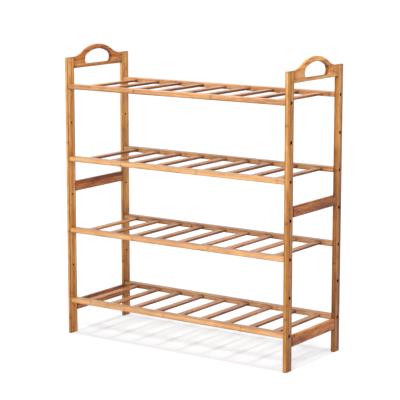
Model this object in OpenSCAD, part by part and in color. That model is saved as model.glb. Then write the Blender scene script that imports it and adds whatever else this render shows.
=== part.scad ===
// Four-tier slatted bamboo shoe rack.
// Two side frames (posts, handle panel and side rails, dowelled together) carry four shelves,
// each with a front rail, a back rail and a row of slats let into them. One socket screw at each
// rail end holds a shelf between the side frames.
// Frame: X across the width, Y from front (-) to back (+), Z up, origin on the floor at the centre.

/* [Overall] */
// Width over the outer faces of the two side frames
rack_w = 680; // [600:10:800]
// Depth over the outer edges of the posts
rack_d = 260; // [245:5:320]
// Height to the crown of the handles
rack_h = 760; // [760:5:900]

/* [Posts] */
// Post width, front to back
post_w = 28; // [27:1:34]
// Post thickness, across the rack
post_t = 10; // [10:0.5:14]
// Rounding of the two upright corners on the outer face
post_outer_r = 4.5; // [2:0.5:4.5]
// Easing of the two upright corners on the inner face
post_inner_r = 1; // [0.5:0.5:2]

/* [Handle panels] */
// Height of the crown above the tops of the posts
crown_rise = 28; // [24:1:34]
// Radius of the crown
crown_r = 112; // [105:1:118]
// Distance from the crown down to the panel's lower edge
panel_h = 57; // [57:1:66]
// Half width of the hand hole
grip_half_w = 54.5; // [48:0.5:56]
// Wood left above the hand hole at its middle
grip_top_wall = 12; // [10:0.5:12.5]
// Wood left below the hand hole
grip_bottom_wall = 8.5; // [7:0.5:9]
// Corner radius at the bottom of the hand hole
grip_bottom_r = 9.5; // [7:0.5:9.5]
// Shoulder radius at the top of the hand hole
grip_shoulder_r = 14; // [12:0.5:16]

/* [Side rails] */
// Gap from the middle row of screw holes up to the middle side rail
middle_rail_gap = 6.5; // [5:0.5:20]
// Height of the middle side rail
middle_rail_h = 26; // [22:1:32]
// Gap from the lowest row of screw holes down to the bottom side rail
bottom_rail_gap = 2; // [2:0.5:20]
// Height of the bottom side rail
bottom_rail_h = 28; // [24:1:32]
// Easing of the side rails' long edges
side_rail_r = 2; // [1:0.5:3]

/* [Shelves] */
// Number of shelves
shelf_count = 4; // [2:1:4]
// Height of the lowest row of screw holes above the floor
first_hole_z = 90; // [90:1:100]
// Distance between rows of screw holes; a shelf sits on every second row
hole_pitch = 94.5; // [93:0.5:95]
// Shelf rail width, front to back
shelf_rail_w = 24; // [22:1:26]
// Shelf rail height
shelf_rail_h = 12; // [11:0.5:16]
// Rounding of the shelf rails' outer long edges
shelf_rail_outer_r = 3; // [1:0.5:4]
// Rounding of the shelf rails' inner long edges, above and below the slats
shelf_rail_inner_r = 2; // [1:0.5:2.5]
// Number of slats in a shelf
slat_count = 9; // [5:1:9]
// Slat width
slat_w = 18; // [12:1:24]
// Slat thickness
slat_t = 6; // [5:0.5:7]
// Rounding of the slats' long edges
slat_r = 1.5; // [0.5:0.5:2]
// Open gap between a side frame and the first slat
end_gap = 33; // [25:1:45]
// Depth that a slat's end is let into the rail
tenon_len = 7; // [5:0.5:7]

/* [Fasteners] */
// Diameter of the screw holes through the posts
screw_hole_d = 5.2; // [5:0.1:6]
// Diameter of the counterbore for a screw head
counterbore_d = 8.5; // [8:0.1:10]
// Depth of the counterbore
counterbore_depth = 4; // [3.5:0.5:5]
// Diameter of the screw's shank
screw_shank_d = 4.8; // [4:0.1:4.8]
// Length of the screw below its head
screw_len = 40; // [30:1:40]
// Diameter of the dowels
dowel_d = 6; // [5:0.5:6]
// Length of the dowels
dowel_len = 29; // [24:1:30]

/* [Hidden] */
// Steps in a quarter of a small rounded corner, and in each long arc of the handle outline
corner_steps = 6;
arc_steps = 14;
$fn = 48;

// Running clearance around tenons, dowels and shanks, and the gap left at the bottom of blind holes
tenon_clear = 0.15;
dowel_clear = 0.1;
shank_clear = 0.1;
blind_gap = 0.5;
// Extra length by which a cutter passes the face it cuts
cut = 1;

// Screw head: diameter, height, and the key socket across its flats and in depth
head_d = 7.8;
head_h = 3.2;
socket_af = 4;
socket_depth = 2;

inner_w = rack_w - 2 * post_t;
post_top = rack_h - crown_rise;
panel_half_w = rack_d / 2 - post_w;
hole_y = rack_d / 2 - post_w / 2;
hole_count = 2 * shelf_count - 1;
slat_pitch = (inner_w - 2 * end_gap - slat_w) / (slat_count - 1);
rail_inner_y = hole_y - shelf_rail_w / 2;
slat_len = 2 * (rail_inner_y + tenon_len);
rail_bore_depth = screw_len - (post_t - counterbore_depth) + blind_gap;

// Side rails lie close to the middle and lowest rows of screw holes
middle_rail_z = hole_z(floor(hole_count / 2)) + middle_rail_gap;
bottom_rail_z = first_hole_z - bottom_rail_gap - bottom_rail_h;

// The crown of the handle runs into the flat shoulders through a hollow arc on each side
shoulder_inset = 2;
shoulder_y = panel_half_w - shoulder_inset;
crown_z = rack_h - crown_r;
shoulder_above_crown_z = post_top - crown_z;
hollow_r = (shoulder_y * shoulder_y + shoulder_above_crown_z * shoulder_above_crown_z
    - crown_r * crown_r) / (2 * (crown_r - shoulder_above_crown_z));
crown_angle = asin(shoulder_y / (crown_r + hollow_r));

// The hand hole: a flat bottom, round ends and a top that follows the crown
grip_top_r = crown_r - grip_top_wall;
grip_bottom_z = rack_h - panel_h + grip_bottom_wall;
grip_shoulder_y = grip_half_w - grip_shoulder_r;
grip_shoulder_z = crown_z
    + sqrt(pow(grip_top_r - grip_shoulder_r, 2) - pow(grip_shoulder_y, 2));
grip_angle = asin(grip_shoulder_y / (grip_top_r - grip_shoulder_r));

// Dowel heights, in pairs about each side rail's middle and near the handle panel's lower edge
dowel_half_gap = 6;
panel_dowel_z = rack_h - panel_h + 14;
dowel_rows = [panel_dowel_z, middle_rail_z + middle_rail_h / 2, bottom_rail_z + bottom_rail_h / 2];
dowel_heights = [for (row = dowel_rows, sign = [-1, 1]) row + sign * dowel_half_gap];

SIDES = ["left", "right"];
ENDS = ["front", "back"];
SHELVES = [1 : shelf_count];
SLATS = [1 : slat_count];

// Height of screw-hole row k, counted from 0 at the bottom, and of shelf n, counted from the top
function hole_z(k) = first_hole_z + k * hole_pitch;
function shelf_z(n) = hole_z(2 * (shelf_count - n));

// Points along an arc about c, from angle a0 to a1
function arc(c, r, a0, a1, steps) =
    [for (i = [0 : steps]) let (a = a0 + (a1 - a0) * i / steps) c + r * [cos(a), sin(a)]];

// One rounded corner of a w by h rectangle about the origin, in quadrant q, counted anticlockwise
function corner(w, h, r, q) =
    let (sx = (q == 0 || q == 3) ? 1 : -1, sy = q < 2 ? 1 : -1)
    arc([sx * (w / 2 - r), sy * (h / 2 - r)], r, 90 * q, 90 * (q + 1), corner_steps);

// A w by h rectangle about the origin, with radius right_r on its +x corners and left_r on the others
module rounded_rect(w, h, right_r, left_r) {
    polygon(concat(
        corner(w, h, right_r, 0),
        corner(w, h, left_r, 1),
        corner(w, h, left_r, 2),
        corner(w, h, right_r, 3)
    ));
}

// Turns a shape drawn for the right side into the left one
module on_side(side) {
    if (side == "left")
        mirror([1, 0, 0]) children();
    else
        children();
}

// Turns a shape drawn for the back into the front one
module at_end(end) {
    if (end == "front")
        mirror([0, 1, 0]) children();
    else
        children();
}

// Stands a shape drawn as (y, z) upright and gives it thickness t about x = 0
module upright(t) {
    rotate([90, 0, 90])
        linear_extrude(height = t, center = true)
            children();
}

// Cylinder of length len along +X from its base at the origin
module along_x(d, len) {
    rotate([0, 90, 0])
        cylinder(d = d, h = len);
}

// Cylinder of length len along Y, about the origin
module along_y(d, len) {
    rotate([90, 0, 0])
        cylinder(d = d, h = len, center = true);
}

// The dowels' places at the back joint of a right side frame
module at_dowels(heights) {
    for (z = heights)
        translate([rack_w / 2 - post_t / 2, panel_half_w, z])
            children();
}

// Blind dowel holes across the front and back joints of a right side frame
module dowel_holes(heights) {
    for (end = ENDS)
        at_end(end)
            at_dowels(heights)
                along_y(dowel_d + 2 * dowel_clear, dowel_len + 2 * blind_gap);
}

module post(side, end) {
    color([0.80, 0.58, 0.35])
        on_side(side) at_end(end)
            difference() {
                translate([rack_w / 2 - post_t / 2, hole_y, 0])
                    linear_extrude(height = post_top)
                        rounded_rect(post_t, post_w, post_outer_r, post_inner_r);
                for (k = [0 : hole_count - 1])
                    translate([rack_w / 2, hole_y, hole_z(k)]) {
                        translate([-post_t - cut, 0, 0])
                            along_x(screw_hole_d, post_t + 2 * cut);
                        translate([-counterbore_depth, 0, 0])
                            along_x(counterbore_d, counterbore_depth + cut);
                    }
                dowel_holes(dowel_heights);
            }
}

// Outline of the handle panel, anticlockwise from its lower right corner
module panel_outline() {
    right_hollow = arc([shoulder_y, post_top + hollow_r], hollow_r,
        270, 270 - crown_angle, arc_steps);
    crown = arc([0, crown_z], crown_r, 90 - crown_angle, 90 + crown_angle, 2 * arc_steps);
    left_hollow = arc([-shoulder_y, post_top + hollow_r], hollow_r,
        270 + crown_angle, 270, arc_steps);
    polygon(concat(
        [[-panel_half_w, rack_h - panel_h], [panel_half_w, rack_h - panel_h]],
        [[panel_half_w, post_top]],
        right_hollow,
        [for (i = [1 : 2 * arc_steps - 1]) crown[i]],
        left_hollow,
        [[-panel_half_w, post_top]]
    ));
}

// Outline of the hand hole, anticlockwise from its lower right corner
module grip_outline() {
    bottom_y = grip_half_w - grip_bottom_r;
    bottom_z = grip_bottom_z + grip_bottom_r;
    crown = arc([0, crown_z], grip_top_r, 90 - grip_angle, 90 + grip_angle, 2 * arc_steps);
    polygon(concat(
        arc([bottom_y, bottom_z], grip_bottom_r, 270, 360, corner_steps),
        arc([grip_shoulder_y, grip_shoulder_z], grip_shoulder_r, 0, 90 - grip_angle, corner_steps),
        [for (i = [1 : 2 * arc_steps - 1]) crown[i]],
        arc([-grip_shoulder_y, grip_shoulder_z], grip_shoulder_r, 90 + grip_angle, 180, corner_steps),
        arc([-bottom_y, bottom_z], grip_bottom_r, 180, 270, corner_steps)
    ));
}

module handle_panel(side) {
    color([0.79, 0.56, 0.33])
        on_side(side)
            difference() {
                translate([rack_w / 2 - post_t / 2, 0, 0])
                    upright(post_t)
                        difference() {
                            panel_outline();
                            grip_outline();
                        }
                dowel_holes(dowel_heights);
            }
}

// A rail between the posts of a side frame, with its lower edge at z
module side_rail(side, z, h) {
    color([0.78, 0.55, 0.32])
        on_side(side)
            difference() {
                translate([rack_w / 2 - post_t / 2, 0, z + h / 2])
                    rotate([90, 0, 0])
                        linear_extrude(height = 2 * panel_half_w, center = true)
                            rounded_rect(post_t, h, side_rail_r, side_rail_r);
                dowel_holes(dowel_heights);
            }
}

module middle_side_rail(side) {
    side_rail(side, middle_rail_z, middle_rail_h);
}

module bottom_side_rail(side) {
    side_rail(side, bottom_rail_z, bottom_rail_h);
}

module frame_dowels(side) {
    color([0.86, 0.70, 0.50])
        on_side(side)
            for (end = ENDS)
                at_end(end)
                    at_dowels(dowel_heights)
                        along_y(dowel_d, dowel_len);
}

// Slat centres across the rack
function slat_x(i) = (i - (slat_count + 1) / 2) * slat_pitch;

module shelf_rail(shelf, end) {
    color([0.85, 0.64, 0.43])
        at_end(end)
            translate([0, hole_y, shelf_z(shelf)])
                difference() {
                    upright(inner_w)
                        rounded_rect(shelf_rail_w, shelf_rail_h, shelf_rail_outer_r, shelf_rail_inner_r);
                    for (i = SLATS)
                        translate([slat_x(i), -shelf_rail_w / 2, 0])
                            cube([slat_w + 2 * tenon_clear, 2 * (tenon_len + blind_gap),
                                slat_t + 2 * tenon_clear], center = true);
                    for (side = SIDES)
                        on_side(side)
                            translate([inner_w / 2 - rail_bore_depth, 0, 0])
                                along_x(screw_shank_d + 2 * shank_clear, rail_bore_depth + cut);
                }
}

module shelf_slat(shelf, i) {
    color([0.87, 0.67, 0.46])
        translate([slat_x(i), 0, shelf_z(shelf)])
            rotate([90, 0, 0])
                linear_extrude(height = slat_len, center = true)
                    rounded_rect(slat_w, slat_t, slat_r, slat_r);
}

// A socket screw along X, with the underside of its head at the origin and its head towards +X
module socket_screw() {
    difference() {
        union() {
            translate([-screw_len, 0, 0])
                along_x(screw_shank_d, screw_len + cut);
            along_x(head_d, head_h);
        }
        translate([head_h - socket_depth, 0, 0])
            rotate([0, 90, 0])
                cylinder(d = socket_af / cos(30), h = socket_depth + cut, $fn = 6);
    }
}

module shelf_screws(shelf) {
    color([0.16, 0.155, 0.15])
        for (side = SIDES, end = ENDS)
            on_side(side) at_end(end)
                translate([rack_w / 2 - counterbore_depth, hole_y, shelf_z(shelf)])
                    socket_screw();
}

for (side = SIDES, end = ENDS)
    post(side, end);
for (side = SIDES) {
    handle_panel(side);
    middle_side_rail(side);
    bottom_side_rail(side);
    frame_dowels(side);
}
for (shelf = SHELVES, end = ENDS)
    shelf_rail(shelf, end);
for (shelf = SHELVES, i = SLATS)
    shelf_slat(shelf, i);
for (shelf = SHELVES)
    shelf_screws(shelf);
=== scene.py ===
"""Tiered bamboo shoe rack: the visible pieces, their materials, the light and the camera.

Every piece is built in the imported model's own frame: metres, X across the rack, Y from front to back,
Z up. Places come from the CAD nodes' boxes; the shapes that a box can't tell are the named sizes below.
"""

import math
import random

import bmesh
import bpy
import numpy as np
from mathutils import Matrix, Vector


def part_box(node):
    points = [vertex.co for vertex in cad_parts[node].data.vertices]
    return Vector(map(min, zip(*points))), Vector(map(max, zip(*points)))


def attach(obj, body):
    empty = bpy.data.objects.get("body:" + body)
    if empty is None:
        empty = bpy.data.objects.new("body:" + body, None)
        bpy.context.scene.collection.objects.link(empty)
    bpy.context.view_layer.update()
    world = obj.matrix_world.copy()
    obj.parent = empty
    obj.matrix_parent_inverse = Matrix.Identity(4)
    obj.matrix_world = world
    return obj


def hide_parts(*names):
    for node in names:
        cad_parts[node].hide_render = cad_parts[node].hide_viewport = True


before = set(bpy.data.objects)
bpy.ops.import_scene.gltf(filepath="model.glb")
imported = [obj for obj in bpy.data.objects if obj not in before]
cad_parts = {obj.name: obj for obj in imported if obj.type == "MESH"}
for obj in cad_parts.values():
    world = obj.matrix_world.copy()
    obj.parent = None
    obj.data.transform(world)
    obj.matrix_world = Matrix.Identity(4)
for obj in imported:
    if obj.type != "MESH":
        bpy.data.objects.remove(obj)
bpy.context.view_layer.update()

# ---------------------------------------------------------------- sizes, in metres

MM = 0.001

# Radii of the long edges: those on the rack's outside are rounder
POST_OUTER_R = 4.5 * MM
POST_INNER_R = 1.0 * MM
SIDE_RAIL_R = 2.0 * MM
SHELF_RAIL_OUTER_R = 3.0 * MM
SHELF_RAIL_INNER_R = 2.0 * MM
SLAT_R = 1.5 * MM

# Easing of the pieces' ends: where they butt against another piece, and at a post's foot and top
BUTT_EASE = 0.35 * MM
FOOT_EASE = 2.5 * MM
TOP_EASE = 1.4 * MM

# Handle panel
CROWN_R = 112 * MM           # radius of its arched top
SHOULDER_INSET = 2 * MM      # flat step between a post and the hollow beside the arch
GRIP_HALF_W = 54.5 * MM      # half the hand hole's width
GRIP_TOP_WALL = 12 * MM      # wood above the hand hole
GRIP_BOTTOM_WALL = 8.5 * MM  # wood below it
GRIP_BOTTOM_R = 9.5 * MM     # its lower corners
GRIP_SHOULDER_R = 14 * MM    # its upper corners
HANDLE_EDGE_R = 1.9 * MM     # rounding of the panel's edges
GRIP_EDGE_R = 2.4 * MM       # rounding of the hand hole's edges

# Screw holes through the posts, with a counterbore on the outer face
BORE_R = 2.6 * MM
COUNTERBORE_R = 4.25 * MM
COUNTERBORE_DEPTH = 4 * MM
RIM_EASE = 0.45 * MM         # rounding of the counterbore's mouth
FLOOR_EASE = 0.3 * MM        # chamfer round the counterbore's floor
BORE_EASE = 0.25 * MM        # chamfer of the bore at that floor
INNER_RIM_EASE = 0.35 * MM   # rounding of the bore's mouth on the inner face
# A screw hole is painted near-black inside as painted shade; this is how far down its mouth that starts
HOLE_SHADE_EDGE = 0.3 * RIM_EASE   # how far down its rounded mouth a hole's black starts

# Joinery inside the wood
TENON_LEN = 7 * MM
TENON_CLEAR = 0.15 * MM      # gap all round a slat's end in its mortise
BLIND_GAP = 0.5 * MM         # space left at the bottom of a hole or mortise
PILOT_R = 2.5 * MM
PILOT_TIP = 1.5 * MM         # length of the pilot hole's tapered end
PILOT_TIP_R = 1 * MM
DOWEL_R = 3 * MM
DOWEL_LEN = 29 * MM
DOWEL_HOLE_R = 3.1 * MM
DOWEL_HOLE_TIP = 0.5 * MM    # length of a dowel hole's tapered ends
DOWEL_HOLE_TIP_R = 1.86 * MM
DOWEL_CHAMFER = 1 * MM       # how much smaller the radius of a dowel's ends is
DOWEL_CHAMFER_LEN = 1.2 * MM
FLUTES = 16
FLUTE_DEPTH = 0.22 * MM
DOWEL_HALF_GAP = 6 * MM      # from a joint's middle up or down to a dowel
PANEL_DOWEL_UP = 14 * MM     # from a handle panel's lower edge to the middle of its dowels

# Screws
SCREW_LEN = 40 * MM
SHANK_R = 2.4 * MM
HEAD_R = 3.9 * MM
HEAD_H = 3.2 * MM
HEAD_EASE = 0.5 * MM         # rounding of the head's outer rim
HEAD_MID_EASE = 0.15 * MM    # the same, halfway round that rounding
HEAD_UNDER_EASE = 0.2 * MM   # chamfer under the head
SOCKET_AF = 4 * MM           # across the flats
SOCKET_DEPTH = 2 * MM
SOCKET_EASE = 0.15 * MM      # chamfer of the socket's mouth
SOCKET_TIP = 0.5 * MM        # depth of the cone at the socket's bottom
SOCKET_TIP_R = 0.2 * MM
PLAIN_SHANK = 7 * MM         # length of the shank before its thread
THREAD_START = 7.5 * MM
THREAD_PITCH = 1.8 * MM
THREAD_WIDTH = 0.625         # of the pitch, at its root
THREAD_DEPTH = 0.26          # of the shank's radius
THREAD_RUN_IN = 1            # turns until the thread is at its full depth
THREAD_RUN_OUT = 3           # turns over which it fades towards the point
POINT_LEN = 3.25 * MM        # length over which the shank narrows to its point
POINT_R = 0.35               # of the shank's radius

CUT = 1 * MM                 # how far a cutter passes the face that it cuts
LEAST_R = 0.1 * MM           # least corner radius that is left where an outline is inset
WELD = 1e-7                  # points nearer than this become one

# Steps and sides of round shapes
CORNER_STEPS = 5
END_STEPS = 3
HOLLOW_STEPS = 14
CROWN_STEPS = 28
GRIP_CORNER_STEPS = 8
PANEL_BOTTOM_STEPS = 12
HOLE_SIDES = 32
BLIND_HOLE_SIDES = 24
DOWEL_SIDES = 64
SCREW_SIDES = 24
RINGS_PER_THREAD = 6

SIDES = ("left", "right")
ENDS = ("front", "back")
SHELVES = range(1, 5)
SLATS = range(1, 10)
SIGN = {"left": -1, "right": 1, "front": -1, "back": 1}


def centre(node):
    lo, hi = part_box(node)
    return (lo + hi) / 2


def size(node):
    lo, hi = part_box(node)
    return hi - lo


POST_SIZE = size("right_back_post")
POST_AT = centre("right_back_post")
INNER_X = POST_AT.x - POST_SIZE.x / 2   # the posts' inner faces
PANEL_HALF_W = size("right_handle_panel").y / 2
POST_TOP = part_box("right_back_post")[1].z
PANEL_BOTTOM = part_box("right_handle_panel")[0].z
CROWN_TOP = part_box("right_handle_panel")[1].z

# Screw holes: one row at each shelf and one midway between two shelves
SHELF_ROWS = [centre(f"shelf_{n}_back_rail").z for n in SHELVES]
SPARE_ROWS = [(a + b) / 2 for a, b in zip(SHELF_ROWS, SHELF_ROWS[1:])]
HOLE_ROWS = sorted(SHELF_ROWS + SPARE_ROWS)

# Dowels: two at each joint, about the middle of a side rail or low in the handle panel
DOWEL_MIDDLES = {
    "handle": PANEL_BOTTOM + PANEL_DOWEL_UP,
    "middle": centre("right_middle_side_rail").z,
    "bottom": centre("right_bottom_side_rail").z,
}
DOWEL_ROWS = {joint: [z - DOWEL_HALF_GAP, z + DOWEL_HALF_GAP] for joint, z in DOWEL_MIDDLES.items()}
ALL_DOWEL_ROWS = sum(DOWEL_ROWS.values(), [])

# ---------------------------------------------------------------- mesh tools


def mesh_object(name, bm):
    """A new object from a bmesh, with its faces turned outwards."""
    bmesh.ops.remove_doubles(bm, verts=bm.verts, dist=WELD)
    bmesh.ops.recalc_face_normals(bm, faces=bm.faces)
    mesh = bpy.data.meshes.new(name)
    bm.to_mesh(mesh)
    bm.free()
    obj = bpy.data.objects.new(name, mesh)
    bpy.context.scene.collection.objects.link(obj)
    return obj


def skin(bm, rings, close_ends=True):
    """Quads between rings that have the same number of points, with a cap on each end."""
    loops = [[bm.verts.new(p) for p in ring] for ring in rings]
    count = len(loops[0])
    for low, high in zip(loops, loops[1:]):
        for i in range(count):
            j = (i + 1) % count
            bm.faces.new((low[i], low[j], high[j], high[i]))
    if close_ends:
        bm.faces.new(loops[0])
        bm.faces.new(loops[-1])
    return loops


def arc(cx, cy, r, start, stop, steps):
    """Points on an arc, with its angles in degrees."""
    turn = [math.radians(start + (stop - start) * i / steps) for i in range(steps + 1)]
    return [(cx + r * math.cos(a), cy + r * math.sin(a)) for a in turn]


def rounded_section(width, depth, radii, inset=0.0):
    """Outline of a bar, inset all round. radii are those of its (+,+), (-,+), (-,-) and (+,-) corners."""
    points = []
    for quarter, full_r in enumerate(radii):
        r = max(full_r - inset, LEAST_R)
        sx = 1 if quarter in (0, 3) else -1
        sy = 1 if quarter < 2 else -1
        cx = sx * (width / 2 - inset - r)
        cy = sy * (depth / 2 - inset - r)
        points += arc(cx, cy, r, 90 * quarter, 90 * (quarter + 1), CORNER_STEPS)
    return points


def quarter_round(r, steps):
    """(distance below the end, distance in from the side) over a rounded edge, from the end to the side."""
    angles = [math.radians(90 * k / steps) for k in range(steps + 1)]
    return [(r * (1 - math.cos(a)), r * (1 - math.sin(a))) for a in angles]


def bar_rings(length, width, depth, radii, eases):
    """Rings of a bar along its first axis, with its two ends eased by a quarter round."""
    rings = []
    for end, ease in zip((-1, 1), eases):
        run = [(end * (length / 2 - sunk), inset) for sunk, inset in quarter_round(ease, END_STEPS)]
        if end > 0:
            run.reverse()
        for along, inset in run:
            ring = rounded_section(width, depth, radii, inset)
            rings.append([(along, p, q) for p, q in ring])
    return rings


def axes_matrix(at, along, across, thick):
    """Takes a piece's (along, across, thick) to X, Y and Z about a place. Each axis is "x", "y" or "z"."""
    m = Matrix.Translation(at)
    for column, axis in enumerate((along, across, thick)):
        for row, name in enumerate("xyz"):
            m[row][column] = 1.0 if name == axis else 0.0
    return m


def bar(name, node, grain, radii, eases):
    """A rounded bar that fills a node's box. grain names the axes along, across and through the wood."""
    at, extent = centre(node), size(node)
    length, width, depth = (extent["xyz".index(a)] for a in grain)
    bm = bmesh.new()
    skin(bm, bar_rings(length, width, depth, radii, eases))
    bm.transform(axes_matrix(at, *grain))
    return mesh_object(name, bm)


def full_turn(sides):
    return [2 * math.pi * i / sides for i in range(sides)]


def ring_about_x(along, radii):
    """A ring about the X axis, with a radius for each of its points."""
    return [(along, r * math.cos(a), r * math.sin(a)) for a, r in zip(full_turn(len(radii)), radii)]


def skin_along(bm, rings, at, axis):
    """A closed skin over rings about the X axis, which starts at a place and follows another axis instead."""
    turn = Vector((1, 0, 0)).rotation_difference(Vector(axis)).to_matrix().to_4x4()
    place = Matrix.Translation(at) @ turn
    skin(bm, [[place @ Vector(p) for p in ring] for ring in rings])


def turned(bm, profile, sides, at, axis):
    """A closed solid of revolution. profile is its (distance along the axis, radius) pairs."""
    skin_along(bm, [ring_about_x(along, [r] * sides) for along, r in profile], at, axis)


def cut_away(obj, cutter_bm):
    """Takes the cutters out of a piece and leaves a plain mesh."""
    cutter = mesh_object("cutter", cutter_bm)
    boolean = obj.modifiers.new("cut", "BOOLEAN")
    boolean.operation = "DIFFERENCE"
    boolean.solver = "EXACT"
    boolean.object = cutter
    graph = bpy.context.evaluated_depsgraph_get()
    cut_mesh = bpy.data.meshes.new_from_object(obj.evaluated_get(graph))
    obj.modifiers.clear()
    old_mesh = obj.data
    obj.data = cut_mesh
    bpy.data.meshes.remove(old_mesh)
    cutter_mesh = cutter.data
    bpy.data.objects.remove(cutter)
    bpy.data.meshes.remove(cutter_mesh)


SHARP = math.cos(math.radians(38))   # faces that turn more than this meet in a sharp corner
FLAT = 0.999999                      # a flat face's normal lies at least this much along one axis
FLAT_WEIGHT = 1e4                    # how much more its area counts


def smooth_normals(obj):
    """Smooth shading with sharp corners, where a flat face keeps its own normal up to its edge."""
    mesh = obj.data
    bm = bmesh.new()
    bm.from_mesh(mesh)
    bm.normal_update()
    bm.faces.ensure_lookup_table()
    weight = []
    for f in bm.faces:
        factor = FLAT_WEIGHT if max(abs(c) for c in f.normal) > FLAT else 1.0
        weight.append(factor * f.calc_area())
    loop_normals = [None] * sum(len(f.loops) for f in bm.faces)
    start_of = {}
    count = 0
    for f in bm.faces:
        start_of[f.index] = count
        count += len(f.loops)
    place_of = {loop: start_of[f.index] + k for f in bm.faces for k, loop in enumerate(f.loops)}
    for v in bm.verts:
        left = dict.fromkeys(v.link_loops)
        while left:
            fan = [left.popitem()[0]]
            todo = list(fan)
            while todo:
                loop = todo.pop()
                for near in (loop.link_loop_radial_next, loop.link_loop_prev.link_loop_radial_next):
                    same = near if near.vert == v else near.link_loop_next
                    if same in left and same.face.normal.dot(loop.face.normal) > SHARP:
                        del left[same]
                        fan.append(same)
                        todo.append(same)
            total = Vector()
            for loop in fan:
                total += weight[loop.face.index] * loop.face.normal
            for loop in fan:
                loop_normals[place_of[loop]] = total.normalized()
    bm.free()
    mesh.polygons.foreach_set("use_smooth", [True] * len(mesh.polygons))
    mesh.normals_split_custom_set(loop_normals)


# ---------------------------------------------------------------- materials


class Shader:
    """A node material, built up one value at a time. A value is a socket or a number."""

    def __init__(self, name):
        self.material = bpy.data.materials.new(name)
        self.material.use_nodes = True
        self.tree = self.material.node_tree
        self.tree.nodes.clear()
        self.surface = self.tree.nodes.new("ShaderNodeBsdfPrincipled")
        output = self.tree.nodes.new("ShaderNodeOutputMaterial")
        self.tree.links.new(self.surface.outputs["BSDF"], output.inputs["Surface"])

    def node(self, kind, inputs=(), **settings):
        made = self.tree.nodes.new("ShaderNode" + kind)
        for name, value in settings.items():
            setattr(made, name, value)
        for key, value in dict(inputs).items():
            self.put(made.inputs[key], value)
        return made

    def put(self, socket, value):
        if isinstance(value, bpy.types.NodeSocket):
            self.tree.links.new(value, socket)
        else:
            socket.default_value = value

    def math(self, operation, *values, clamp=False):
        made = self.node("Math", enumerate(values), operation=operation, use_clamp=clamp)
        return made.outputs[0]

    def centred(self, value):
        """A value from 0 to 1, moved to lie about 0."""
        return self.math("SUBTRACT", value, 0.5)

    def add_up(self, total, terms):
        """A total, plus each value times its weight."""
        for value, weight in terms:
            total = self.math("MULTIPLY_ADD", value, weight, total)
        return total

    def attribute(self, name):
        return self.node("Attribute", attribute_name=name).outputs["Vector"]

    def parts(self, name):
        return tuple(self.node("SeparateXYZ", {0: self.attribute(name)}).outputs)

    def vector(self, x, y, z):
        return self.node("CombineXYZ", enumerate((x, y, z))).outputs[0]

    def noise(self, where, scale=1.0, detail=2.0, roughness=0.5):
        inputs = {"Vector": where, "Scale": scale, "Detail": detail, "Roughness": roughness}
        return self.node("TexNoise", inputs).outputs["Fac"]

    def ramp(self, value, stops):
        made = self.node("ValToRGB", {"Fac": value})
        ramp = made.color_ramp
        ramp.interpolation = "LINEAR"
        while len(ramp.elements) < len(stops):
            ramp.elements.new(0.5)
        for element, (place, colour) in zip(ramp.elements, stops):
            element.position = place
            element.color = (*colour, 1)
        return made.outputs["Color"]

    def mix(self, share, one, other):
        """A blend of two colours. A Mix node takes them at its inputs 6 and 7, and gives it at output 2."""
        made = self.node("Mix", {0: share, 6: one, 7: (*other, 1)}, data_type="RGBA")
        return made.outputs[2]

    def bump(self, height, strength, distance):
        made = self.node("Bump", {"Height": height, "Strength": strength, "Distance": distance})
        self.put(self.surface.inputs["Normal"], made.outputs["Normal"])

    def fade(self, value, low, high, to_low=0.0, to_high=1.0):
        inputs = {"Value": value, "From Min": low, "From Max": high, "To Min": to_low, "To Max": to_high}
        return self.node("MapRange", inputs, interpolation_type="SMOOTHSTEP").outputs["Result"]


SCREEN_FULL = 255
SCREEN_GAMMA = 2.2


def linear(red, green, blue):
    """A colour given as it looks on screen, from 0 to 255, as the linear values that Blender uses."""
    return tuple((c / SCREEN_FULL) ** SCREEN_GAMMA for c in (red, green, blue))


def scaled_grain(sh, along, across):
    """The grain coordinates, in cells of noise per metre along and across the wood."""
    parts = sh.parts("grain")
    return sh.vector(
        sh.math("MULTIPLY", parts[0], along),
        sh.math("MULTIPLY", parts[1], across),
        sh.math("MULTIPLY", parts[2], across),
    )


# Screen colours of the lacquered bamboo: its palest strips, its middle tone and its darkest fibres; then the
# near-black painted shade inside a screw hole, and the beech's colours
POST_COLOURS = (linear(226, 178, 118), linear(184, 123, 57), linear(134, 76, 27))
PANEL_COLOURS = (linear(220, 166, 98), linear(192, 124, 58), linear(146, 73, 22))
RAIL_COLOURS = (linear(220, 168, 112), linear(194, 137, 86), linear(138, 82, 40))
SLAT_COLOURS = (linear(214, 156, 100), linear(188, 126, 72), linear(134, 74, 34))
BORE_SHADE_COLOUR = linear(36, 16, 6)
BEECH_COLOURS = (linear(233, 200, 156), linear(218, 178, 130), linear(184, 138, 92))

# Linear colours of the steel, from its darkest spots to its palest, and of the floor
STEEL_TINTS = ((0.013, 0.012, 0.011), (0.024, 0.022, 0.020), (0.055, 0.051, 0.047))
FLOOR_TINTS = ((0.36, 0.38, 0.40), (0.39, 0.41, 0.43))
FLOOR_GLOW = 0.55

# How dark each piece is, from 0 to 1: its wood's own tone, and on the left handle panel painted shade as
# well, as its inner face lies in shade
POST_TONES = {
    ("left", "front"): 0.38,
    ("left", "back"): 0.43,
    ("right", "front"): 0.65,
    ("right", "back"): 0.65,
}
PANEL_TONES_AND_SHADE = {"left": 0.54, "right": 0.42}
SIDE_RAIL_TONES = {
    ("left", "middle"): 0.80,
    ("left", "bottom"): 0.70,
    ("right", "middle"): 0.78,
    ("right", "bottom"): 0.72,
}
SHELF_RAIL_TONES = {"front": 0.35, "back": 0.37}
SLAT_TONE = 0.39
TONE_SPREAD = 0.05            # how far every piece's tone strays from these
SLAT_TONE_SPREAD = 0.08       # how much further a slat's does

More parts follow.
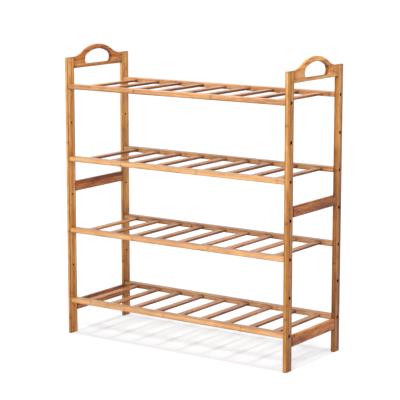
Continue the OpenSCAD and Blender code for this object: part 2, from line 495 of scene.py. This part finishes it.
# Painted shade and painted light on the posts: how much darker a post is painted with each metre down, for
# the shade low down, and how much paler its narrow faces are painted, for the light on its front (darker on
# the right back post, whose front lies in shade)
POST_PAINTED_SHADE_FALL = 0.4
POST_NARROW_PAINTED_LIGHT = {
    ("left", "front"): 0.16,
    ("left", "back"): 0.34,
    ("right", "front"): 0.34,
    ("right", "back"): -0.15,
}

# Painted shade on a piece's edges, deeper where less light reaches (lower, back and inner edges): how dark it
# is on average, and how much more towards its second and its third axis
POST_EDGE_SHADE = (1.0, 0.35, 0.35)     # the third axis points inwards here
SIDE_RAIL_EDGE_SHADE = (0.75, -0.65, 0)
SHELF_RAIL_EDGE_SHADE = (0.75, 0, -0.65)
SLAT_EDGE_SHADE = (1.1, 0, -0.6)

# The most that a piece is shifted in the noise, in metres along, across and through the wood, and the most
# that its strips are shifted in their random numbers
GRAIN_SHIFT = (20, 2, 2)
STRIP_SEEDS = 50

EDGE_SHADE_BAND = 3.0 * MM          # how far the darker tone reaches from a piece's edges
END_GRAIN_DEPTH = 0.14 * MM   # how far the sawn ends' tone reaches

# Noise in the bamboo: cells per metre along and across the wood, detail and roughness
BAMBOO_NOISE = {
    "sway": (1.5, 6.0, 1.0, 0.5),
    "wander": (8.0, 260.0, 2.0, 0.5),
    "streak": (2.2, 330.0, 3.0, 0.6),
    "thread": (22.0, 2100.0, 3.0, 0.65),
    "cloud": (5.0, 22.0, 2.0, 0.5),
    "mottle": (26.0, 130.0, 2.0, 0.6),
}
VESSEL_CELLS = (95.0, 1700.0)
VESSEL_FADE = (0.12, 0.34)    # from a vessel's middle, where its tone is full and where it ends, in cells
STRIP_SWAY = 0.25             # how far a strip's border strays, as a share of the strip's width
JOINT_FADE = (0.93, 1.0)      # where a glue joint starts and is full, from a strip's middle to its border
CANE_NODE_PITCH = 0.235       # metres between two nodes of a cane

# As shares of that pitch: how far a node's line strays, how far the strips' nodes lie apart, and how far from
# the node the line and the swelling are full and end
CANE_NODE_WANDER = 0.014
CANE_NODE_SCATTER = 9.0
NODE_LINE_FADE = (0.001, 0.0075)
NODE_SWELL_FADE = (0.006, 0.034)


def piece_edges(sh, local, half, edge_shade_lean):
    """How dark the painted edge shade is at a point, whether it is on a sawn end, and how near it is to a
    narrow face.
    local and half give its distances to the piece's six sides, and edge_shade_lean how dark each edge's
    painted shade is."""
    gaps = [sh.math("SUBTRACT", half[i], sh.math("ABSOLUTE", local[i])) for i in range(3)]
    smaller, larger = sh.math("MINIMUM", gaps[0], gaps[1]), sh.math("MAXIMUM", gaps[0], gaps[1])
    second = sh.math("MAXIMUM", smaller, sh.math("MINIMUM", larger, gaps[2]))
    near_edge = sh.math("MULTIPLY_ADD", second, -1 / EDGE_SHADE_BAND, 1.0, clamp=True)
    weight = sh.add_up(edge_shade_lean[0], [(edge_shade_lean[1], local[1]), (edge_shade_lean[2], local[2])])
    edge = sh.math("MULTIPLY", near_edge, weight)
    end_grain = sh.math("LESS_THAN", gaps[0], END_GRAIN_DEPTH)
    narrow = sh.math("MULTIPLY_ADD", gaps[1], -1 / POST_OUTER_R, 1.0, clamp=True)
    return edge, end_grain, narrow


def glued_strips(sh, across, sway, seed, strip_w, first_border):
    """Strips across the wood. Returns each strip's two random numbers, and the glue joints at its borders."""
    strip_at = sh.math("MULTIPLY_ADD", across, 1 / strip_w, first_border)
    strip_at = sh.math("MULTIPLY_ADD", sway, STRIP_SWAY, strip_at)
    strip = sh.math("FLOOR", strip_at)
    pick = sh.node("TexWhiteNoise", {"W": sh.math("ADD", strip, seed)}, noise_dimensions="1D")
    shift = sh.node("SeparateColor", {0: pick.outputs["Color"]}).outputs["Green"]
    from_middle = sh.math("MULTIPLY", sh.math("ABSOLUTE", sh.centred(sh.math("FRACT", strip_at))), 2.0)
    joint = sh.fade(from_middle, *JOINT_FADE)
    return pick.outputs["Value"], shift, joint


def cane_nodes(sh, along, wander, strip_shift):
    """A cane's nodes, somewhere on every strip: a narrow dark line, and the paler swelling about it."""
    pitches = sh.math("DIVIDE", along, CANE_NODE_PITCH)
    place = sh.add_up(pitches, [(strip_shift, CANE_NODE_SCATTER), (wander, CANE_NODE_WANDER)])
    from_node = sh.math("ABSOLUTE", sh.centred(sh.math("FRACT", place)))
    return sh.fade(from_node, *NODE_LINE_FADE, 1.0, 0.0), sh.fade(from_node, *NODE_SWELL_FADE, 1.0, 0.0)


def bamboo(name, colours, strip_w, first_border, mottled, roughness, coat):
    """Glued bamboo strips under a clear lacquer: strips of varied tone, their joints, nodes and fibres, with
    painted shade on the edges and in the screw holes and painted light on the narrow faces.
    colours are the pale, the middle and the deep one. first_border is how far the strips are shifted across,
    as a share of their width, and mottled how strong the wood's blotches are."""
    sh = Shader(name)
    grain, local, half, edge_shade_lean = (sh.parts(name) for name in ("grain", "local", "half", "edge_shade_lean"))
    tone, narrow_painted_light, seed = sh.parts("tone")
    # marks holds the handle panel's painted edge shade with the router's burn on its hand hole's wall, and
    # where a screw hole is painted black as painted shade
    wall, bore, _ = sh.parts("marks")
    noise = {}
    for kind, (along, across, detail, rough) in BAMBOO_NOISE.items():
        noise[kind] = sh.noise(scaled_grain(sh, along, across), detail=detail, roughness=rough)
    swing = {kind: sh.centred(noise[kind]) for kind in ("streak", "thread", "cloud", "mottle")}
    vessel_cells = sh.node("TexVoronoi", {"Vector": scaled_grain(sh, *VESSEL_CELLS), "Scale": 1.0})
    vessel = sh.fade(vessel_cells.outputs["Distance"], *VESSEL_FADE, 1.0, 0.0)
    edge, end_grain, narrow = piece_edges(sh, local, half, edge_shade_lean)
    edge = sh.math("MAXIMUM", edge, wall)
    strip_tone, strip_shift, joint = glued_strips(sh, local[1], noise["sway"], seed, strip_w, first_border)
    node_line, node_swell = cane_nodes(sh, grain[0], noise["wander"], strip_shift)

    # How dark the wood is painted: each effect with its weight. The edge term is painted shade, and on the
    # handle panel it also carries the router's burn on the hand hole's wall
    depth = sh.add_up(0.0, [
        (sh.centred(strip_tone), 0.36),
        (swing["streak"], 0.8),
        (swing["thread"], 0.5),
        (swing["cloud"], 0.6),
        (swing["mottle"], mottled),
        (vessel, 0.12),
        (joint, 0.14),
        (node_line, 0.34),
        (node_swell, 0.1),
        (edge, 0.45),
        (end_grain, 0.2),
    ])
    # Painted light: the narrow faces are painted paler, and darker as painted shade where the number is below
    # 0
    depth = sh.math("SUBTRACT", depth, sh.math("MULTIPLY", narrow, narrow_painted_light))
    depth = sh.math("ADD", depth, tone, clamp=True)
    pale, middle, deep = colours
    darkest = tuple(0.5 * c for c in deep)
    colour = sh.ramp(depth, [(0.0, pale), (0.4, middle), (0.8, deep), (1.0, darkest)])
    # Painted shade: the inside of a screw hole is painted near-black
    sh.put(sh.surface.inputs["Base Color"], sh.mix(bore, colour, BORE_SHADE_COLOUR))

    # The lacquer is thin over the fibres and worn at the edges, and there is none inside a hole
    rough = sh.add_up(roughness, [(swing["thread"], 0.16), (swing["cloud"], 0.10), (vessel, 0.06)])
    sh.put(sh.surface.inputs["Roughness"], sh.math("MAXIMUM", rough, bore))
    worn = sh.math("MAXIMUM", bore, sh.math("MULTIPLY", edge, 0.6), clamp=True)
    sh.put(sh.surface.inputs["Coat Weight"], sh.math("MULTIPLY", sh.math("SUBTRACT", 1.0, worn), coat))
    sh.surface.inputs["Coat Roughness"].default_value = 0.25
    sh.surface.inputs["Specular IOR Level"].default_value = 0.2

    # Its relief
    height = sh.add_up(0.0, [
        (noise["thread"], 0.5),
        (noise["streak"], 0.8),
        (vessel, -0.35),
        (joint, -0.5),
        (node_swell, 0.6),
        (node_line, -0.5),
    ])
    sh.bump(height, strength=0.35, distance=0.12 * MM)
    return sh.material


def dowel_wood():
    """Dry turned beech: short flecks and open fibres, with no lacquer."""
    sh = Shader("dowel_beech")
    streak = sh.noise(scaled_grain(sh, along=12.0, across=700.0), detail=4.0, roughness=0.6)
    fleck = sh.noise(scaled_grain(sh, along=160.0, across=1900.0), detail=2.0)
    depth = sh.add_up(streak, [(sh.centred(fleck), 0.6)])
    colour = sh.ramp(depth, list(zip((0.25, 0.55, 0.85), BEECH_COLOURS)))
    sh.put(sh.surface.inputs["Base Color"], colour)
    sh.put(sh.surface.inputs["Roughness"], sh.add_up(0.62, [(fleck, 0.2)]))
    sh.bump(depth, strength=0.4, distance=0.1 * MM)
    return sh.material


def screw_steel():
    """Black zinc-plated steel, slightly dulled, with faint turning marks and handling spots."""
    sh = Shader("screw_black_zinc")
    turning = sh.noise(scaled_grain(sh, along=9000.0, across=300.0), detail=1.0)
    spots = sh.noise(sh.attribute("grain"), scale=900.0, detail=3.0)
    colour = sh.ramp(spots, list(zip((0.3, 0.6, 0.8), STEEL_TINTS)))
    sh.put(sh.surface.inputs["Base Color"], colour)
    sh.surface.inputs["Metallic"].default_value = 1.0
    sh.put(sh.surface.inputs["Roughness"], sh.add_up(0.22, [(spots, 0.25)]))
    sh.bump(turning, strength=0.25, distance=0.03 * MM)
    return sh.material


def floor_paper():
    """The plain pale floor: matt paper with a very faint tooth."""
    sh = Shader("floor_paper")
    place = sh.node("TexCoord").outputs["Object"]
    tooth = sh.noise(place, scale=300.0, detail=2.0)
    shade = sh.ramp(tooth, list(zip((0.0, 1.0), FLOOR_TINTS)))
    sh.put(sh.surface.inputs["Base Color"], shade)
    sh.surface.inputs["Roughness"].default_value = 0.9
    sh.surface.inputs["Specular IOR Level"].default_value = 0.1
    sh.surface.inputs["Emission Color"].default_value = (1, 1, 1, 1)
    sh.surface.inputs["Emission Strength"].default_value = FLOOR_GLOW
    return sh.material


# Each bamboo's colours, the width and shift of its strips, its blotches, its roughness and its lacquer
BAMBOOS = {
    "bamboo_posts": (POST_COLOURS, 5.6 * MM, -0.12, 0.6, 0.40, 0.1),
    "bamboo_side_panels": (PANEL_COLOURS, 6.5 * MM, 0.38, 1.0, 0.40, 0.08),
    "bamboo_shelf_rails": (RAIL_COLOURS, 6.0 * MM, 0.38, 0.8, 0.38, 0.45),
    "bamboo_slats": (SLAT_COLOURS, 6.0 * MM, -0.12, 0.8, 0.38, 0.45),
}
MATERIALS = {slot: bamboo(slot, *look) for slot, look in BAMBOOS.items()}
MATERIALS["dowel_wood"] = dowel_wood()
MATERIALS["screw_steel"] = screw_steel()

# ---------------------------------------------------------------- putting a piece in the frame

rng = random.Random(68)


def mesh_points(obj):
    """A mesh's points as rows, with their lowest and highest corners."""
    points = np.zeros(len(obj.data.vertices) * 3)
    obj.data.vertices.foreach_get("co", points)
    points = points.reshape(-1, 3)
    return points, points.min(axis=0), points.max(axis=0)


def dress(obj, node, slot, grain, tone=0.0, edge_shade_lean=(0, 0, 0), half=None, narrow_painted_light=0.0, wall=0.0, bore=0.0):
    """Shades a finished piece, gives it what its material reads, and lets it stand for its CAD node.
    grain names its axes along, across and through the wood. tone is how dark it is, narrow_painted_light how
    much paler its narrow faces are painted, and edge_shade_lean how dark the painted shade on its edges is.
    half is half its size, where its shaded edges aren't its box's. wall and bore rise from 0 to 1 towards a
    rounded wall, with a router's burn and painted shade, and into a drilled hole, painted black as shade."""
    smooth_normals(obj)
    mesh = obj.data
    points, lo, hi = mesh_points(obj)
    order = ["xyz".index(a) for a in grain]
    shift = np.array([rng.uniform(0, most) for most in GRAIN_SHIFT])
    own_tone = tone + rng.uniform(-TONE_SPREAD, TONE_SPREAD)
    seed = rng.uniform(0, STRIP_SEEDS)
    local = (points - (lo + hi) / 2)[:, order]
    box_half = (hi - lo)[order] / 2
    rows = {
        "grain": local + shift,
        "local": local,
        "half": box_half if half is None else half,
        "tone": np.stack(np.broadcast_arrays(own_tone, narrow_painted_light, seed), axis=-1),
        "edge_shade_lean": (edge_shade_lean[0], edge_shade_lean[1] / box_half[1], edge_shade_lean[2] / box_half[2]),
        "marks": np.stack(np.broadcast_arrays(wall, bore, 0.0), axis=-1),
    }
    for name, values in rows.items():
        layer = mesh.attributes.new(name, "FLOAT_VECTOR", "POINT")
        layer.data.foreach_set("vector", np.broadcast_to(values, points.shape).astype(np.float32).ravel())
    mesh.materials.clear()
    mesh.materials.append(MATERIALS[slot])
    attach(obj, "root")
    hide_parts(node)


# ---------------------------------------------------------------- the pieces


def dowel_cutters(bm, side, end, rows):
    """Blind dowel holes across one joint of a side frame."""
    reach = DOWEL_LEN / 2 + BLIND_GAP
    profile = [
        (0, DOWEL_HOLE_TIP_R),
        (DOWEL_HOLE_TIP, DOWEL_HOLE_R),
        (2 * reach - DOWEL_HOLE_TIP, DOWEL_HOLE_R),
        (2 * reach, DOWEL_HOLE_TIP_R),
    ]
    for z in rows:
        at = (SIGN[side] * POST_AT.x, SIGN[end] * PANEL_HALF_W - reach, z)
        turned(bm, profile, BLIND_HOLE_SIDES, at, (0, 1, 0))


def hole_profile():
    """A screw hole's cutter, from outside the post's outer face to past its inner face."""
    floor = COUNTERBORE_DEPTH
    through = POST_SIZE.x
    profile = [(-CUT, COUNTERBORE_R + RIM_EASE)]
    profile += [(sunk, COUNTERBORE_R + out) for sunk, out in quarter_round(RIM_EASE, END_STEPS)]
    profile += [
        (floor - FLOOR_EASE, COUNTERBORE_R),
        (floor, COUNTERBORE_R - FLOOR_EASE),
        (floor, BORE_R + BORE_EASE),
        (floor + BORE_EASE, BORE_R),
    ]
    inner_rim = quarter_round(INNER_RIM_EASE, END_STEPS)
    profile += [(through - sunk, BORE_R + out) for sunk, out in reversed(inner_rim)]
    profile.append((through + CUT, BORE_R + INNER_RIM_EASE))
    return profile


def make_post(side, end):
    node = f"{side}_{end}_post"
    outer, inner = POST_OUTER_R, POST_INNER_R
    radii = (outer, outer, inner, inner) if side == "right" else (inner, inner, outer, outer)
    obj = bar(node + "_look", node, "zyx", radii, (FOOT_EASE, TOP_EASE))
    cutters = bmesh.new()
    face_x = SIGN[side] * (POST_AT.x + POST_SIZE.x / 2)
    for z in HOLE_ROWS:
        at = (face_x, SIGN[end] * POST_AT.y, z)
        turned(cutters, hole_profile(), HOLE_SIDES, at, (-SIGN[side], 0, 0))
    dowel_cutters(cutters, side, end, ALL_DOWEL_ROWS)
    cut_away(obj, cutters)
    points = mesh_points(obj)[0]
    below_face = POST_SIZE.x / 2 - np.abs(points[:, 0] - SIGN[side] * POST_AT.x)
    # Where the screw holes are painted black inside, as painted shade
    bore = np.zeros(len(points))
    for z in HOLE_ROWS:
        from_axis = np.hypot(points[:, 1] - SIGN[end] * POST_AT.y, points[:, 2] - z)
        bore[(from_axis < COUNTERBORE_R + HOLE_SHADE_EDGE) & (below_face > HOLE_SHADE_EDGE)] = 1
    # Painted shade on its edges and deepening towards its foot, and painted light on its narrow faces
    edge_shade_lean = (POST_EDGE_SHADE[0], POST_EDGE_SHADE[1], -SIGN[side] * POST_EDGE_SHADE[2])
    tone = POST_TONES[side, end] + POST_PAINTED_SHADE_FALL * (POST_TOP / 2 - points[:, 2])
    pale = POST_NARROW_PAINTED_LIGHT[side, end]
    dress(obj, node, "bamboo_posts", "zyx", tone, edge_shade_lean, narrow_painted_light=pale, bore=bore)


def panel_outline():
    """The handle panel's outline as (y, z), anticlockwise from its lower right corner."""
    shoulder_y = PANEL_HALF_W - SHOULDER_INSET
    crown_z = CROWN_TOP - CROWN_R
    rise = POST_TOP - crown_z
    hollow_r = (shoulder_y**2 + rise**2 - CROWN_R**2) / (2 * (CROWN_R - rise))
    angle = math.degrees(math.asin(shoulder_y / (CROWN_R + hollow_r)))
    half_steps = PANEL_BOTTOM_STEPS // 2
    bottom = [(PANEL_HALF_W * k / half_steps, PANEL_BOTTOM) for k in range(-half_steps, half_steps + 1)]
    right = arc(shoulder_y, POST_TOP + hollow_r, hollow_r, 270, 270 - angle, HOLLOW_STEPS)
    crown = arc(0, crown_z, CROWN_R, 90 - angle, 90 + angle, CROWN_STEPS)[1:-1]
    left = arc(-shoulder_y, POST_TOP + hollow_r, hollow_r, 270 + angle, 270, HOLLOW_STEPS)
    return bottom + [(PANEL_HALF_W, POST_TOP)] + right + crown + left + [(-PANEL_HALF_W, POST_TOP)]


def grip_outline():
    """The hand hole's outline as (y, z), anticlockwise."""
    crown_z = CROWN_TOP - CROWN_R
    top_r = CROWN_R - GRIP_TOP_WALL
    bottom_z = PANEL_BOTTOM + GRIP_BOTTOM_WALL
    shoulder_y = GRIP_HALF_W - GRIP_SHOULDER_R
    shoulder_z = crown_z + math.sqrt((top_r - GRIP_SHOULDER_R) ** 2 - shoulder_y**2)
    angle = math.degrees(math.asin(shoulder_y / (top_r - GRIP_SHOULDER_R)))
    side_y, side_z = GRIP_HALF_W - GRIP_BOTTOM_R, bottom_z + GRIP_BOTTOM_R
    points = arc(side_y, side_z, GRIP_BOTTOM_R, 270, 360, GRIP_CORNER_STEPS)
    points += arc(shoulder_y, shoulder_z, GRIP_SHOULDER_R, 0, 90 - angle, GRIP_CORNER_STEPS)
    points += arc(0, crown_z, top_r, 90 - angle, 90 + angle, CROWN_STEPS)[1:-1]
    points += arc(-shoulder_y, shoulder_z, GRIP_SHOULDER_R, 90 + angle, 180, GRIP_CORNER_STEPS)
    points += arc(-side_y, side_z, GRIP_BOTTOM_R, 180, 270, GRIP_CORNER_STEPS)
    return points


CORNER_TURN = 0.5   # the sine of the least turn that counts as a corner of an outline


def moved_in(outline, distances):
    """An anticlockwise outline with its walls moved in. distances[i] is for the wall that follows point i."""
    moved = []
    for i, point in enumerate(outline):
        after = (Vector(outline[(i + 1) % len(outline)]) - Vector(point)).normalized()
        before = (Vector(point) - Vector(outline[i - 1])).normalized()
        turn = before.x * after.y - before.y * after.x
        if abs(turn) > CORNER_TURN:
            step = (after * distances[i - 1] - before * distances[i]) / turn
        else:
            inwards = Vector((-before.y - after.y, before.x + after.x)).normalized()
            step = inwards * distances[i] / math.sqrt((1 + before.dot(after)) / 2)
        moved.append((point[0] + step.x, point[1] + step.y))
    return moved


def edge_loops(bm, outline, reaches, radius, x0, half_t):
    """Rings over a rounded wall, from the face at +x to the face at -x. radius is the rounding's depth, and
    reaches how far it comes in at each wall, below 0 round a hole. Returns the first and last ring."""
    profile = [(share, half_t - radius * inset) for share, inset in quarter_round(1, CORNER_STEPS)]
    rings = []
    for share, x in profile[::-1] + [(share, -x) for share, x in profile]:
        rings.append([(x0 + x, y, z) for y, z in moved_in(outline, [share * reach for reach in reaches])])
    loops = skin(bm, rings, close_ends=False)
    return loops[0], loops[-1]


def distance_to(outline, points):
    """Distance of each (y, z) point to a closed outline."""
    starts = np.array(outline)
    steps = np.roll(starts, -1, axis=0) - starts
    offset = points[:, None, :] - starts[None]
    share = np.clip((offset * steps).sum(axis=2) / (steps**2).sum(axis=1), 0, 1)
    return np.linalg.norm(offset - share[..., None] * steps, axis=2).min(axis=1)


def make_handle_panel(side):
    node = f"{side}_handle_panel"
    at, extent = centre(node), size(node)
    outer, hole = panel_outline(), grip_outline()
    bm = bmesh.new()
    half_t = extent.x / 2
    butts = [p[0] == q[0] for p, q in zip(outer, outer[1:] + outer[:1])]
    outer_reaches = [BUTT_EASE if butt else HANDLE_EDGE_R for butt in butts]
    hole_reaches = [-GRIP_EDGE_R] * len(hole)
    outer_ends = edge_loops(bm, outer, outer_reaches, HANDLE_EDGE_R, at.x, half_t)
    hole_ends = edge_loops(bm, hole, hole_reaches, GRIP_EDGE_R, at.x, half_t)
    for outside, inside in zip(outer_ends, hole_ends):
        edges = []
        for ring in (outside, inside):
            for a, b in zip(ring, ring[1:] + ring[:1]):
                edges.append(bm.edges.get((a, b)))
        bmesh.ops.triangle_fill(bm, edges=edges, use_beauty=True)
    obj = mesh_object(node + "_look", bm)
    cutters = bmesh.new()
    for end in ENDS:
        dowel_cutters(cutters, side, end, DOWEL_ROWS["handle"])
    cut_away(obj, cutters)
    points = mesh_points(obj)[0]
    to_face = half_t - np.abs(points[:, 0] - at.x)
    to_hole = distance_to(hole, points[:, 1:])
    to_wall = np.minimum(distance_to(outer, points[:, 1:]), to_hole)
    # Painted shade along the panel's rounded edges; on the hand hole's wall the router's burn and painted
    # shade
    edge = 1 - np.clip(np.maximum(to_face, to_wall) / HANDLE_EDGE_R, 0, 1)
    grip_wall_burn_and_shade = 1 - np.clip(to_hole / GRIP_EDGE_R, 0, 1)
    wall = np.maximum(edge, grip_wall_burn_and_shade)
    # wall gives the painted edge shade here, and a far larger size keeps those of its box out of it
    far_off = (1, 1, 1)
    dress(obj, node, "bamboo_side_panels", "yzx", PANEL_TONES_AND_SHADE[side], half=far_off, wall=wall)


def make_side_rail(side, level):
    node = f"{side}_{level}_side_rail"
    obj = bar(node + "_look", node, "yzx", (SIDE_RAIL_R,) * 4, (BUTT_EASE, BUTT_EASE))
    cutters = bmesh.new()
    for end in ENDS:
        dowel_cutters(cutters, side, end, DOWEL_ROWS[level])
    cut_away(obj, cutters)
    dress(obj, node, "bamboo_side_panels", "yzx", SIDE_RAIL_TONES[side, level], SIDE_RAIL_EDGE_SHADE)


def make_frame_dowels(side):
    node = f"{side}_frame_dowels"
    bm = bmesh.new()
    profile = [
        (0, DOWEL_R - DOWEL_CHAMFER),
        (DOWEL_CHAMFER_LEN, DOWEL_R),
        (DOWEL_LEN - DOWEL_CHAMFER_LEN, DOWEL_R),
        (DOWEL_LEN, DOWEL_R - DOWEL_CHAMFER),
    ]
    turn = full_turn(DOWEL_SIDES)
    flutes = [FLUTE_DEPTH * (0.5 - 0.5 * math.cos(FLUTES * a)) ** 2 for a in turn]
    x = SIGN[side] * POST_AT.x
    for end in ENDS:
        start_y = SIGN[end] * PANEL_HALF_W - DOWEL_LEN / 2
        for z in ALL_DOWEL_ROWS:
            rings = []
            for along, full_r in profile:
                ring = []
                for a, flute in zip(turn, flutes):
                    r = full_r - flute
                    ring.append((x + r * math.cos(a), start_y + along, z + r * math.sin(a)))
                rings.append(ring)
            skin(bm, rings)
    obj = mesh_object(node + "_look", bm)
    dress(obj, node, "dowel_wood", "yzx")


def make_shelf_rail(shelf, end):
    node = f"shelf_{shelf}_{end}_rail"
    outer, inner = SHELF_RAIL_OUTER_R, SHELF_RAIL_INNER_R
    radii = (outer, inner, inner, outer) if end == "back" else (inner, outer, outer, inner)
    obj = bar(node + "_look", node, "xyz", radii, (BUTT_EASE, BUTT_EASE))
    at, extent = centre(node), size(node)
    cutters = bmesh.new()
    face_y = at.y - SIGN[end] * extent.y / 2
    for i in SLATS:
        slat = f"shelf_{shelf}_slat_{i}"
        slat_at, slat_size = centre(slat), size(slat)
        bottom_y = face_y + SIGN[end] * (TENON_LEN + BLIND_GAP)
        top_y = face_y - SIGN[end] * CUT
        width, height = slat_size.x + 2 * TENON_CLEAR, slat_size.z + 2 * TENON_CLEAR
        outline = rounded_section(width, height, (SLAT_R,) * 4)
        skin(cutters, [[(slat_at.x + p, y, slat_at.z + q) for p, q in outline] for y in (bottom_y, top_y)])
    depth = SCREW_LEN - (POST_SIZE.x - COUNTERBORE_DEPTH) + BLIND_GAP
    pilot = [(-CUT, PILOT_R), (depth - PILOT_TIP, PILOT_R), (depth, PILOT_TIP_R)]
    for sign in (-1, 1):
        turned(cutters, pilot, BLIND_HOLE_SIDES, (sign * INNER_X, at.y, at.z), (-sign, 0, 0))
    cut_away(obj, cutters)
    dress(obj, node, "bamboo_shelf_rails", "xyz", SHELF_RAIL_TONES[end], SHELF_RAIL_EDGE_SHADE)


def make_slat(shelf, i):
    node = f"shelf_{shelf}_slat_{i}"
    obj = bar(node + "_look", node, "yxz", (SLAT_R,) * 4, (BUTT_EASE, BUTT_EASE))
    # No thickness: its upper face gets the painted edge shade along its outline
    half = (size(node).y / 2, size(node).x / 2, 0)
    tone = SLAT_TONE + rng.uniform(-SLAT_TONE_SPREAD, SLAT_TONE_SPREAD)
    dress(obj, node, "bamboo_slats", "yxz", tone, SLAT_EDGE_SHADE, half)


def thread_rings():
    """Rings of a screw's threaded shank, on to its point. The thread runs out at both ends."""
    rings = []
    length = SCREW_LEN - THREAD_START
    count = int(length / THREAD_PITCH * RINGS_PER_THREAD)
    for k in range(count + 1):
        along = length * k / count
        to_point = length - along
        running_out = min(along / (THREAD_RUN_IN * THREAD_PITCH), to_point / (THREAD_RUN_OUT * THREAD_PITCH))
        full = min(1.0, max(0.0, running_out))
        taper = min(1.0, POINT_R + (1 - POINT_R) * to_point / POINT_LEN)
        radii = []
        for i in range(SCREW_SIDES):
            phase = ((THREAD_START + along) / THREAD_PITCH + i / SCREW_SIDES) % 1.0
            crest = max(0.0, 1 - abs(phase - 0.5) * 2 / THREAD_WIDTH)
            radii.append(SHANK_R * (1 - THREAD_DEPTH * (1 - crest * full)) * taper)
        rings.append(ring_about_x(THREAD_START + along, radii))
    return rings


def hexagon_radius(angle, flats):
    """Distance from a hexagon's middle to its side in a direction. flats is the distance across them."""
    sixth = math.pi / 3
    return flats / 2 / math.cos((angle % sixth) - sixth / 2)


def add_screw(bm, at, outwards):
    """One socket screw. at is the underside of its head, and outwards the way that the head faces."""

    def circle(along, r):
        return ring_about_x(along, [r] * SCREW_SIDES)

    def hexagon(along, flats):
        return ring_about_x(along, [hexagon_radius(a, flats) for a in full_turn(SCREW_SIDES)])

    rings = [
        circle(SOCKET_DEPTH + SOCKET_TIP - HEAD_H, SOCKET_TIP_R),
        hexagon(SOCKET_DEPTH - HEAD_H, SOCKET_AF),
        hexagon(SOCKET_EASE - HEAD_H, SOCKET_AF),
        hexagon(-HEAD_H, SOCKET_AF + 2 * SOCKET_EASE),
        circle(-HEAD_H, HEAD_R - HEAD_EASE),
        circle(HEAD_MID_EASE - HEAD_H, HEAD_R - HEAD_MID_EASE),
        circle(HEAD_EASE - HEAD_H, HEAD_R),
        circle(-HEAD_UNDER_EASE, HEAD_R),
        circle(0, HEAD_R - HEAD_UNDER_EASE),
        circle(0, SHANK_R),
        circle(PLAIN_SHANK, SHANK_R),
    ]
    skin_along(bm, rings + thread_rings(), at, -Vector(outwards))


def make_shelf_screws(shelf):
    node = f"shelf_{shelf}_screws"
    bm = bmesh.new()
    seat_x = POST_AT.x + POST_SIZE.x / 2 - COUNTERBORE_DEPTH
    z = SHELF_ROWS[shelf - 1]
    for side in SIDES:
        for end in ENDS:
            at = (SIGN[side] * seat_x, SIGN[end] * POST_AT.y, z)
            add_screw(bm, at, (SIGN[side], 0, 0))
    obj = mesh_object(node + "_look", bm)
    dress(obj, node, "screw_steel", "xyz")


for side in SIDES:
    for end in ENDS:
        make_post(side, end)
    make_handle_panel(side)
    make_side_rail(side, "middle")
    make_side_rail(side, "bottom")
    make_frame_dowels(side)
for shelf in SHELVES:
    for end in ENDS:
        make_shelf_rail(shelf, end)
    for i in SLATS:
        make_slat(shelf, i)
    make_shelf_screws(shelf)

# ---------------------------------------------------------------- floor, light and camera

FLOOR_HALF = 120.0   # so far that its edge isn't seen
floor_bm = bmesh.new()
bmesh.ops.create_grid(floor_bm, x_segments=1, y_segments=1, size=FLOOR_HALF)
floor = mesh_object("floor", floor_bm)
floor.data.materials.append(floor_paper())
if floor.data.polygons[0].normal.z < 0:
    floor.data.flip_normals()

# A broad sun from straight above, whose angle across sets how soft the shadows are
SUN_STRENGTH = 2.4
SUN_ANGLE = 10.0
SUN_AT = (0, 0, 3)

# A soft box in front of the rack and above it, aimed at its middle
FILL_AT = (1.1, -2.5, 2.5)
FILL_AIM = (0.0, 0.0, POST_TOP / 2)
FILL_SIZE = (0.7, 0.6)
FILL_WATTS = 74

# The studio's walls: the sine of the height at which they start to dim and at which they are at their
# dimmest, and their strength before and after
WALL_FADE = {"From Min": 0.15, "From Max": 0.45, "To Min": 1.0, "To Max": 0.42}


def add_light(name, kind, at):
    light = bpy.data.lights.new(name, kind)
    obj = bpy.data.objects.new(name, light)
    obj.location = at
    bpy.context.scene.collection.objects.link(obj)
    return obj


overhead = add_light("overhead", "SUN", SUN_AT)
overhead.data.energy = SUN_STRENGTH
overhead.data.angle = math.radians(SUN_ANGLE)

fill = add_light("front_fill", "AREA", FILL_AT)
fill.data.energy = FILL_WATTS
fill.data.shape = "RECTANGLE"
fill.data.size, fill.data.size_y = FILL_SIZE
fill.rotation_mode = "QUATERNION"
fill.rotation_quaternion = (Vector(FILL_AIM) - Vector(FILL_AT)).to_track_quat("-Z", "Y")

world = bpy.data.worlds.new("studio")
world.use_nodes = True
tree = world.node_tree
direction = tree.nodes.new("ShaderNodeTexCoord").outputs["Generated"]
upwards = tree.nodes.new("ShaderNodeSeparateXYZ")
walls = tree.nodes.new("ShaderNodeMapRange")
walls.interpolation_type = "SMOOTHSTEP"
for socket, value in WALL_FADE.items():
    walls.inputs[socket].default_value = value
tree.links.new(direction, upwards.inputs[0])
tree.links.new(upwards.outputs["Z"], walls.inputs["Value"])
tree.links.new(walls.outputs["Result"], tree.nodes["Background"].inputs["Strength"])
tree.nodes["Background"].inputs["Color"].default_value = (1, 1, 1, 1)
bpy.context.scene.world = world
bpy.context.scene.view_settings.view_transform = "Standard"

# A long lens keeps the posts upright. The camera stands to the right of the rack's front, a little above it.
CAMERA_AT = (2.303, -3.326, 1.0875)
CAMERA_YAW = 34.74
CAMERA_PITCH = 10.0
LENS = 144.0

camera_data = bpy.data.cameras.new("camera")
camera_data.lens = LENS
camera_data.sensor_width = 36.0
camera_data.clip_end = 60.0
camera = bpy.data.objects.new("camera", camera_data)
camera.location = CAMERA_AT
camera.rotation_euler = (math.radians(90 - CAMERA_PITCH), 0, math.radians(CAMERA_YAW))
bpy.context.scene.collection.objects.link(camera)
bpy.context.scene.camera = camera
